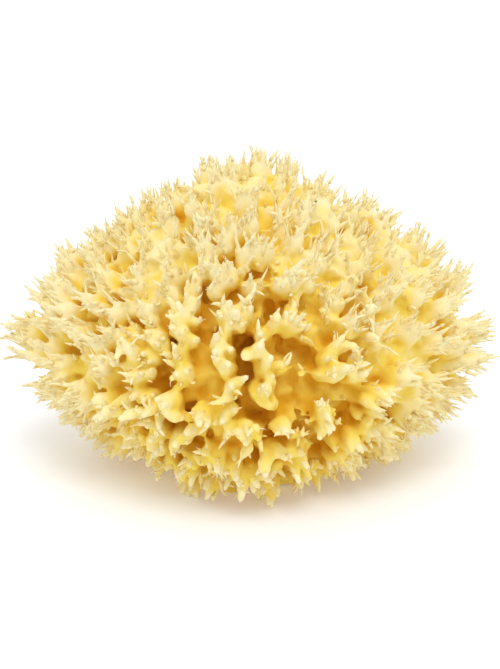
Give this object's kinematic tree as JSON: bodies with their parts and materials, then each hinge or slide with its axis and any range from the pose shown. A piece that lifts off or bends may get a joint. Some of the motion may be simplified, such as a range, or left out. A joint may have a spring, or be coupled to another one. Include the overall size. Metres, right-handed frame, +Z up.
{
  "type": "sea sponge",
  "caption": "Natural wool bath sponge: a rounded, tufted yellow body with round canals between its walls, cut flat underneath so that it rests on the cut.",
  "frame": {"origin": "centre of the footprint, on the flat cut face that the sponge rests on", "axes": "+Z up from the cut face, +X along the sponge's longest side, -Y towards the side with the large open canals"},
  "size_m": [0.15, 0.118, 0.096],
  "materials": {
    "spongin": "matt, soft fibrous spongin, cream at the tuft tips and golden in the canals"
  },
  "bodies": {
    "root": {"sponge_body": "spongin"}
  },
  "joints": []
}
